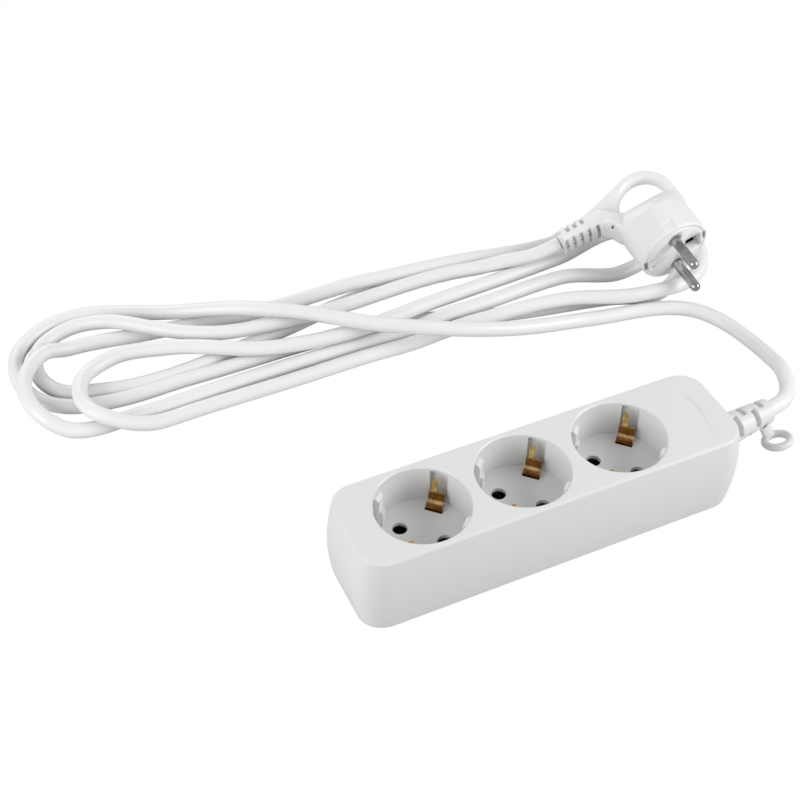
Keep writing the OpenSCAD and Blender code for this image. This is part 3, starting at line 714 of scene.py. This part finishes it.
def slot_sector(along, middle, half_turn, inner, outer):
    """A curved bar that cuts a slot round part of the boot."""
    low, high = Vector((0, 0, along - BOOT_SLOT_HALF)), Vector((0, 0, along + BOOT_SLOT_HALF))
    rings = []
    for step in range(BOOT_SLOT_STEPS + 1):
        angle = math.radians(middle + half_turn * (2 * step / BOOT_SLOT_STEPS - 1))
        spoke = Vector((-math.sin(angle), math.cos(angle), 0))
        rings.append([spoke * inner + low, spoke * outer + low, spoke * outer + high, spoke * inner + high])
    return joined([loft(rings)])


def make_boot(material):
    axis = BOOT_TO - BOOT_FROM
    length = axis.length
    way = axis.normalized()
    back = Vector((0, 0, 1)).cross(way).normalized()
    over = way.cross(back)
    boot_frame = Matrix.Translation(BOOT_FROM) @ Matrix((back, over, way)).transposed().to_4x4()
    solids = [moved(lathe(boot_profile(length)), boot_frame)]
    solids.append(moved(cylinder(COLLAR_R, *COLLAR_X, cap=COLLAR_CAP_R), along_x(BOOT_FROM)))
    turn_x, turn_y = (math.radians(turn) for turn in EYELET_TURNS)
    eyelet_frame = (Matrix.Translation(EYELET_AT) @ Matrix.Rotation(turn_x, 4, "X")
                    @ Matrix.Rotation(turn_y, 4, "Y"))
    solids.append(moved(torus(EYELET_R, EYELET_ROD_R), eyelet_frame))
    solids.append(sweep(WEB_LINE, WEB_HALF_T, WEB_HALF_W, WEB_POWER, up=WEB_UP, count=20))
    mesh = fused(joined(solids), *BOOT_ROUGH)
    cutters = []
    for along, middle, half_turn in BOOT_SLOTS:
        radius = boot_radius(along, length)
        inner, outer = radius - BOOT_SLOT_DEPTH, radius + BOOT_SLOT_PASS
        for opposite in (0, 180):
            cutters.append(moved(slot_sector(along, middle + opposite, half_turn, inner, outer), boot_frame))
    bore = cylinder(CORD_R_MM, BOOT_BORE_FROM, length + BOOT_BORE_PAST, count=40)
    cutters.append(moved(bore, boot_frame))
    mesh = fused(carved(mesh, cutters), *BOOT_FINE, name="strip_relief")
    piece("strip_relief", mesh, material, "root", ["strip_boot"])


# ---------------------------------------------------------------- plug

# the plug's own frame: pins along +Z from its face, cord along -X, ring along -Z
PLUG_FRAME = (Matrix.Translation((129, 101.5, 31)) @ Matrix.Rotation(math.radians(2), 4, "Z")
              @ Matrix.Rotation(math.radians(100), 4, "X") @ Matrix.Rotation(math.radians(18), 4, "Z"))

# round nose: its radius, the bevel of its rim, how far back it goes, the radius of the small face in the
# middle of each end, and the recess for the hard face
PLUG_R = 17.5
PLUG_RIM = 0.7
NOSE_BACK = -18
NOSE_CAP_R = 3
RECESS_R = 15.6
RECESS_Z = (-13, 3)
# shoulder from the nose back to the flat end under the finger hole:
# height, lowest and highest X, half width and power of the superellipse
SHOULDER = (
    (-16, -17.5, 17.5, 17.5, 2.0),
    (-18.6, -17.4, 17.6, 16.8, 2.0),
    (-21.3, -17.1, 17.8, 15.2, 2.1),
    (-23.6, -16.6, 17.9, 13.3, 2.2),
    (-26, -15.8, 17.9, 10.2, 2.4),
    (-28.4, -14.9, 17.9, 6.8, 2.7),
    (-30.4, -14.0, 17.6, 4.2, 3.0),
)

# sleeve for the cord, then the throat that widens into the shoulder: X, half width, back and front height
SLEEVE_Z = -35.3
SLEEVE_HALF_W = 7.1
SLEEVE_HALF_H = 4.6
SLEEVE_BACK = SLEEVE_Z - SLEEVE_HALF_H
SLEEVE_FRONT = SLEEVE_Z + SLEEVE_HALF_H
SLEEVE_POWER = 3.2
SLEEVE = (
    (-43.0, 6.0, SLEEVE_BACK + 0.8, SLEEVE_FRONT - 0.8),
    (-42.2, SLEEVE_HALF_W, SLEEVE_BACK, SLEEVE_FRONT),
    (-34, SLEEVE_HALF_W, SLEEVE_BACK, SLEEVE_FRONT + 0.2),
    (-26, SLEEVE_HALF_W, SLEEVE_BACK + 0.1, SLEEVE_FRONT + 0.8),
    (-23, SLEEVE_HALF_W, SLEEVE_BACK + 0.2, -29.2),
    (-20.6, 7.4, SLEEVE_BACK + 0.4, -27.6),
    (-18.8, 8.0, SLEEVE_BACK + 1.0, -25.2),
    (-17.4, 8.4, -37.2, -21.5),
    (-15.6, 8.5, -35.2, -18),
    (-12, 8.2, -31.5, -14),
    (-7, 9.0, -27, -13),
)
# what cuts its end off at a slant, in X and Z, and the hole for the cord along X
SLEEVE_END = [(-48, -28), (-43.6, -28), (-39.4, -42), (-48, -42)]
SLEEVE_END_HALF_W = 9
SLEEVE_HOLE_X = (-46, -18)
# slots across its front: their middles, half a slot along X, half its width and its heights
SLEEVE_SLOTS_X = (-40.6, -36.7, -32.7, -28.5, -24.0)
SLEEVE_SLOT_HALF = 0.85
SLEEVE_SLOT_HALF_W = 5.4
SLEEVE_SLOT_Z = (SLEEVE_FRONT - 1.5, SLEEVE_FRONT + 4)
# notches in its two sides: their middles, half a notch along X, its span from the middle and its heights
SLEEVE_NOTCHES_X = (-37.5, -33.6, -29.7)
SLEEVE_NOTCH_HALF = 1.1
SLEEVE_NOTCH_Y = (3.0, 9)
SLEEVE_NOTCH_Z = (SLEEVE_Z - 9, SLEEVE_Z + 1.0)

# pulling ring: its middle line in X and Z, half its width along Y, half its thickness and how square its
# section is; then the web that joins it to the sleeve, as an outline in X and Z
PULL_RING = [(16.2, -20), (16.6, -26), (16.7, -32), (16.2, -36.6), (14.4, -41), (11.4, -44.4), (7.2, -46.5),
             (2.6, -46.9), (-2.2, -45.8), (-6.4, -43.4), (-9.8, -40), (-12, -36.2), (-13, -32), (-13, -27)]
PULL_RING_HALF_W = 3.7
PULL_RING_HALF_T = 2.65
PULL_RING_POWER = 2.6
PULL_WEB = [(2, -48.7), (-30.5, -39.7), (-30.5, -33), (-13, -30), (-13, -37), (-9.5, -42),
            (-3, -45.3), (2, -46)]
PULL_WEB_HALF_W = 3.1

# grooves in the rim for a socket's guide ribs, and room for the strap's side contacts
GROOVE_DEPTH = 0.7
GROOVE_X = (-3.3, 2.1)
GROOVE_Y = (PLUG_R - GROOVE_DEPTH, PLUG_R + 3)
GROOVE_Z = (-6.2, 4)
CONTACT_ROOM_X = (14.6, 16.8)
CONTACT_ROOM_HALF_W = 3.1
CONTACT_ROOM_Z = (-2.5, 4)
# mould vent in the shoulder: its place, its lean in degrees, its radius and half its cutter's length
VENT_AT = (-18.4, 7.4, -24.2)
VENT_LEAN = -60
VENT_R = 0.75
VENT_REACH = 6

# grid of the remesh in millimetres and rounds of smoothing, before anything is cut and after
PLUG_ROUGH = (0.42, 7)
PLUG_FINE = (0.3, 1)

# hard face: its radius, how far it stands out, the bevel of its rim and how far back it goes; then how far
# each pin is off the middle, and the radius and floor of the well round it
FACE_R = 15.5
FACE_LIFT = 0.4
FACE_EDGE = 0.4
FACE_BACK = -13
PIN_OFF = 9.5
PIN_WELL_R = 3.2
PIN_WELL_FLOOR = -2.2
# slots for the strap's side contacts, then the middle and half sizes of the earth pin's opening
STRAP_X = 15.6
STRAP_ROOM = 1.0
STRAP_HALF_W = 3.1
EARTH_OPENING = (9.0, 4.0, 4.5)
EARTH_OPENING_FLOOR = -9
# small square recess beside the other side contact
FACE_MARK = ((-13.6, -3.6, -0.4), (-11.6, -1.6, 2))
# height that the face's cutters reach
FACE_CUT_TOP = 2


def plug_shoulder():
    rings = []
    for z, lowest, highest, half_w, power in SHOULDER:
        middle, half = (lowest + highest) / 2, (highest - lowest) / 2
        rings.append([(middle + a, b, z) for a, b in rounded_ring(half, half_w, power)])
    return loft(rings)


def plug_sleeve():
    rings = []
    for x, half_w, low, high in SLEEVE:
        middle = (low + high) / 2
        rings.append([(x, a, middle + b) for a, b in rounded_ring(half_w, (high - low) / 2, SLEEVE_POWER)])
    return loft(rings)


def plug_pull_ring():
    path = [Vector((x, 0, z)) for x, z in smooth_path(PULL_RING, steps=4)]
    return sweep(path, PULL_RING_HALF_W, [PULL_RING_HALF_T] * len(path), PULL_RING_POWER)


def sleeve_cutters():
    """What shapes the sleeve: slots, notches, its slanting end and the cord's hole."""
    cutters = []
    low, high = SLEEVE_SLOT_Z
    for x in SLEEVE_SLOTS_X:
        cutters.append(box((x - SLEEVE_SLOT_HALF, -SLEEVE_SLOT_HALF_W, low),
                           (x + SLEEVE_SLOT_HALF, SLEEVE_SLOT_HALF_W, high)))
    low, high = SLEEVE_NOTCH_Z
    for x in SLEEVE_NOTCHES_X:
        for side in (-1, 1):
            near, far = on_side(side, *SLEEVE_NOTCH_Y)
            cutters.append(box((x - SLEEVE_NOTCH_HALF, near, low), (x + SLEEVE_NOTCH_HALF, far, high)))
    cutters.append(prism_y(SLEEVE_END, SLEEVE_END_HALF_W))
    cutters.append(moved(cylinder(CORD_R_MM, *SLEEVE_HOLE_X, count=32), along_x((0, 0, SLEEVE_Z))))
    return cutters


def nose_cutters():
    """Grooves in the rim, room for the side contacts, and the mould vent."""
    cutters = []
    for side in (-1, 1):
        near, far = on_side(side, *GROOVE_Y)
        cutters.append(box((GROOVE_X[0], near, GROOVE_Z[0]), (GROOVE_X[1], far, GROOVE_Z[1])))
        near, far = on_side(side, *CONTACT_ROOM_X)
        cutters.append(box((near, -CONTACT_ROOM_HALF_W, CONTACT_ROOM_Z[0]),
                           (far, CONTACT_ROOM_HALF_W, CONTACT_ROOM_Z[1])))
    vent_frame = Matrix.Translation(VENT_AT) @ Matrix.Rotation(math.radians(VENT_LEAN), 4, "X")
    cutters.append(moved(cylinder(VENT_R, -VENT_REACH, VENT_REACH, count=24), vent_frame))
    return cutters


def make_plug(material):
    nose = lathe([(NOSE_CAP_R, NOSE_BACK), (PLUG_R, NOSE_BACK), (PLUG_R, -PLUG_RIM),
                  (PLUG_R - PLUG_RIM, 0), (NOSE_CAP_R, 0)], count=96)
    solids = [nose, plug_shoulder(), plug_sleeve(), plug_pull_ring(), prism_y(PULL_WEB, PULL_WEB_HALF_W)]
    mesh = fused(joined(solids), *PLUG_ROUGH)
    recess = cylinder(RECESS_R, *RECESS_Z, count=96)
    mesh = carved(mesh, [recess] + sleeve_cutters() + nose_cutters())
    mesh = fused(mesh, *PLUG_FINE, name="plug_shell")
    piece("plug_shell", mesh, material, "root", ["plug_body"], PLUG_FRAME)


def make_plug_face(material):
    """The hard face that holds the pins, with a well round each pin and the earth pin's opening."""
    disc = lathe([(CAP_R, FACE_BACK), (FACE_R, FACE_BACK), (FACE_R, FACE_LIFT - FACE_EDGE),
                  (FACE_R - FACE_EDGE, FACE_LIFT), (CAP_R, FACE_LIFT)], count=96)
    cutters = []
    for side in (-1, 1):
        well = cylinder(PIN_WELL_R, PIN_WELL_FLOOR, FACE_CUT_TOP, count=48)
        cutters.append(moved(well, Matrix.Translation((0, side * PIN_OFF, 0))))
        near, far = on_side(side, STRAP_X - STRAP_ROOM, STRAP_X + STRAP_ROOM)
        cutters.append(box((near, -STRAP_HALF_W, FACE_BACK - 1), (far, STRAP_HALF_W, FACE_CUT_TOP)))
    x, half_l, half_w = EARTH_OPENING
    cutters.append(box((x - half_l, -half_w, EARTH_OPENING_FLOOR), (x + half_l, half_w, FACE_CUT_TOP)))
    cutters.append(box(*FACE_MARK))
    piece("plug_face", carved(disc, cutters), material, "root", ["plug_bridge"], PLUG_FRAME)


# ---------------------------------------------------------------- cord

# route of the cord, the same points as in the CAD source, in millimetres
CORD_PATH = [
    (116, 3.7, 18), (127, 7, 17), (135, 15, 15), (140, 25, 13.5), (144.5, 41, 8), (145.5, 60, 4),
    (137, 84, 3.5), (87, 101, 4.5), (44, 103.5, 12), (23, 107, 16.5), (-10, 123, 18.5),
    (-43, 148, 18.5), (-61, 160, 18), (-100, 189, 7), (-121, 203, 3.5), (-140, 207.5, 3.5),
    (-157, 203, 3.5), (-169, 192, 3.5), (-173, 176, 3.5), (-169, 160, 3.5), (-157.5, 149, 3.5),
    (-142, 144.5, 3.5), (-100, 143.5, 3.5), (8, 137, 3.5), (51, 122.5, 3.5), (101, 112, 3.5),
    (127, 105, 4), (145.5, 118.5, 7.5), (147, 130, 9.5), (132, 146, 11), (89, 141.5, 11),
    (23, 137.5, 11), (-36, 134.5, 11), (-63, 139.5, 11), (-106, 160, 10.5), (-131, 164.5, 10),
    (-149.5, 152, 11), (-151.5, 141, 11), (-147.5, 131, 11), (-140, 125, 9), (-128, 122, 5),
    (-109, 122.5, 3.5), (-60, 122.5, 3.5), (-7, 122.5, 3.5), (31, 117.5, 10), (77, 112.5, 11),
    (114, 100.5, 11), (143.5, 102, 11), (158, 127, 11), (143, 151, 11), (126, 155.5, 11), (88, 153, 11),
    (40, 160.5, 11), (-3, 165, 11), (-51, 172, 5), (-104, 180.5, 3.5), (-146, 183.5, 6),
    (-160, 179, 11), (-170, 169, 11), (-170, 142.5, 8.5), (-160, 133, 4), (-128, 130.5, 3.5),
    (-80, 132, 3.5), (-5, 131, 3.5), (28, 127.5, 10), (83, 129, 10), (118, 126, 4), (133, 131, 3.5),
    (139.5, 146, 3.5), (133.5, 160, 3.5), (118.5, 165, 3.5), (84, 157.5, 3.5), (20, 165, 3.5),
    (-17, 162.5, 3.5), (-57, 155.5, 3.5), (-142, 153, 3.5), (-158, 160, 3.5), (-164, 176, 3.5),
    (-158.5, 192, 3.5), (-143, 199, 4.5), (-128, 194, 7.5), (-115, 181.5, 11), (-83, 160, 11),
    (-51, 154, 11), (46, 149, 13.5), (61, 143.5, 17.5), (74, 139, 20), (86.5, 137.4, 24),
]
# a handle's slope stays within this many times the gentler slope on either side of its point
SLOPE_LIMIT = 3
# shortest run that is divided by, so that the two end points need no case of their own
TINY = 1e-6


def cord_way(points, i):
    """The direction of the cord at one point, and the distances to the points before and after it."""
    last = len(points) - 1
    here, back, ahead = points[i], points[max(i - 1, 0)], points[min(i + 1, last)]
    before, after = (here - back).length, (ahead - here).length
    # a smooth tangent that leans to the shorter side, and stays level at the top and bottom of a hump
    way = (ahead - here) / max(after, TINY) * before + (here - back) / max(before, TINY) * after
    way.normalize()
    if (ahead.z - here.z) * (here.z - back.z) <= 0 and 0 < i < last:
        way = Vector((way.x, way.y, 0)).normalized()
    # and never so steep that the curve dips below or rises above the points on either side
    slopes = [abs(other.z - here.z) / run for other, run in ((ahead, after), (back, before)) if run > 0]
    steepest = SLOPE_LIMIT * min(slopes)
    way.z = max(-steepest, min(steepest, way.z))
    return way, before, after


def make_cord(material):
    curve = bpy.data.curves.new("cord_run", "CURVE")
    curve.dimensions = "3D"
    curve.bevel_depth = CORD_R
    curve.bevel_resolution = 6
    curve.resolution_u = 10
    curve.use_fill_caps = True
    spline = curve.splines.new("BEZIER")
    spline.bezier_points.add(len(CORD_PATH) - 1)
    points = [Vector(point) for point in CORD_PATH]
    for i, knot in enumerate(spline.bezier_points):
        way, before, after = cord_way(points, i)
        knot.handle_left_type = knot.handle_right_type = "FREE"
        knot.co = points[i] * MM
        knot.handle_left = (points[i] - way * before / 3) * MM
        knot.handle_right = (points[i] + way * after / 3) * MM
    run = link(bpy.data.objects.new("cord_run", curve))
    curve.materials.append(material)
    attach(run, "root")
    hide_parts("cord")


# ---------------------------------------------------------------- earth springs

# each line runs along the middle of the metal, as (distance from the well's middle, height) points
SPRING_T = 0.8
SPRING_LINE = [(14.0, 19.6), (14.0, 22.1), (14.25, 22.8), (16.6, 23.7), (17.0, 24.1), (17.7, 28.0)]
SPRING_HALF_W = 3.5
TONGUE_LINE = [(17.55, 27.2), (17.75, 28.6), (18.05, 32.0), (18.2, 33.6), (18.1, 34.9)]
LEANING_TONGUE_LINE = [(17.55, 27.2), (17.45, 28.6), (16.7, 32.0), (15.9, 34.2), (15.7, 35.1)]
TONGUE_HALF_W = 1.25
TONGUE_TAPER = (1, 1, 1, 0.93, 0.45)
TONGUE_SHIFT = 1.2
# turn of a well's first spring about the well's middle; then the bevel in metres, and the turn of an edge
# from which it is bevelled
SPRING_TURN = 45
SPRING_EDGE = 0.00018
SPRING_EDGE_ANGLE = 40


def leaf(line, half_widths, shift=0.0):
    """A bent strip of sheet metal along a line, with its half width at each point and a shift sideways."""
    verts, faces = [], []
    last = len(line) - 1
    for i, (radius, z) in enumerate(line):
        behind, ahead = line[max(i - 1, 0)], line[min(i + 1, last)]
        way = Vector((ahead[0] - behind[0], 0, ahead[1] - behind[1])).normalized()
        outward = Vector((way.z, 0, -way.x)) * SPRING_T / 2
        for side in (-1, 1):
            for y in (shift - half_widths[i], shift + half_widths[i]):
                verts.append(Vector((radius, y, z)) + side * outward)
    for i in range(last):
        a, b = 4 * i, 4 * (i + 1)
        faces += [(a, a + 1, b + 1, b), (a + 2, b + 2, b + 3, a + 3),
                  (a, b, b + 2, a + 2), (a + 1, a + 3, b + 3, b + 1)]
    faces += [(0, 2, 3, 1), tuple(4 * last + corner for corner in (0, 1, 3, 2))]
    return from_lists("leaf", verts, faces)


def make_spring(body, socket_x, half_turn, material):
    """One spring arm; the second of a well is turned half round, and its tongue leans inward."""
    wide = leaf(SPRING_LINE, [SPRING_HALF_W] * len(SPRING_LINE))
    tongue_line = LEANING_TONGUE_LINE if half_turn else TONGUE_LINE
    tongue = leaf(tongue_line, [TONGUE_HALF_W * share for share in TONGUE_TAPER], TONGUE_SHIFT)
    turn = Matrix.Rotation(math.radians(SPRING_TURN + half_turn), 4, "Z")
    spring = piece(f"earth_{body}_leaf", joined([wide, tongue]), material, body, [f"earth_{body}"],
                   Matrix.Translation((socket_x, 0, 0)) @ turn, smooth=False)
    rim = spring.modifiers.new("edge", "BEVEL")
    rim.width = SPRING_EDGE
    rim.segments = 2
    rim.limit_method = "ANGLE"
    rim.angle_limit = math.radians(SPRING_EDGE_ANGLE)


# ---------------------------------------------------------------- the scene

bpy.context.scene.view_settings.view_transform = "Standard"
make_camera()
MATERIALS = make_materials()
make_cover(MATERIALS["shell_white"])
make_boot(MATERIALS["shell_white"])
make_plug(MATERIALS["plug_white"])
make_plug_face(MATERIALS["plug_white"])
make_cord(MATERIALS["cord_pvc"])
dress_cad_nodes(MATERIALS)
make_world()
make_floor()
for lamp_facts in LAMPS:
    make_lamp(*lamp_facts)
for number, middle_x in enumerate(SOCKET_X, 1):
    for letter, half_round in (("a", 0), ("b", 180)):
        make_spring(f"spring_{number}{letter}", middle_x, half_round, MATERIALS["spring_brass"])
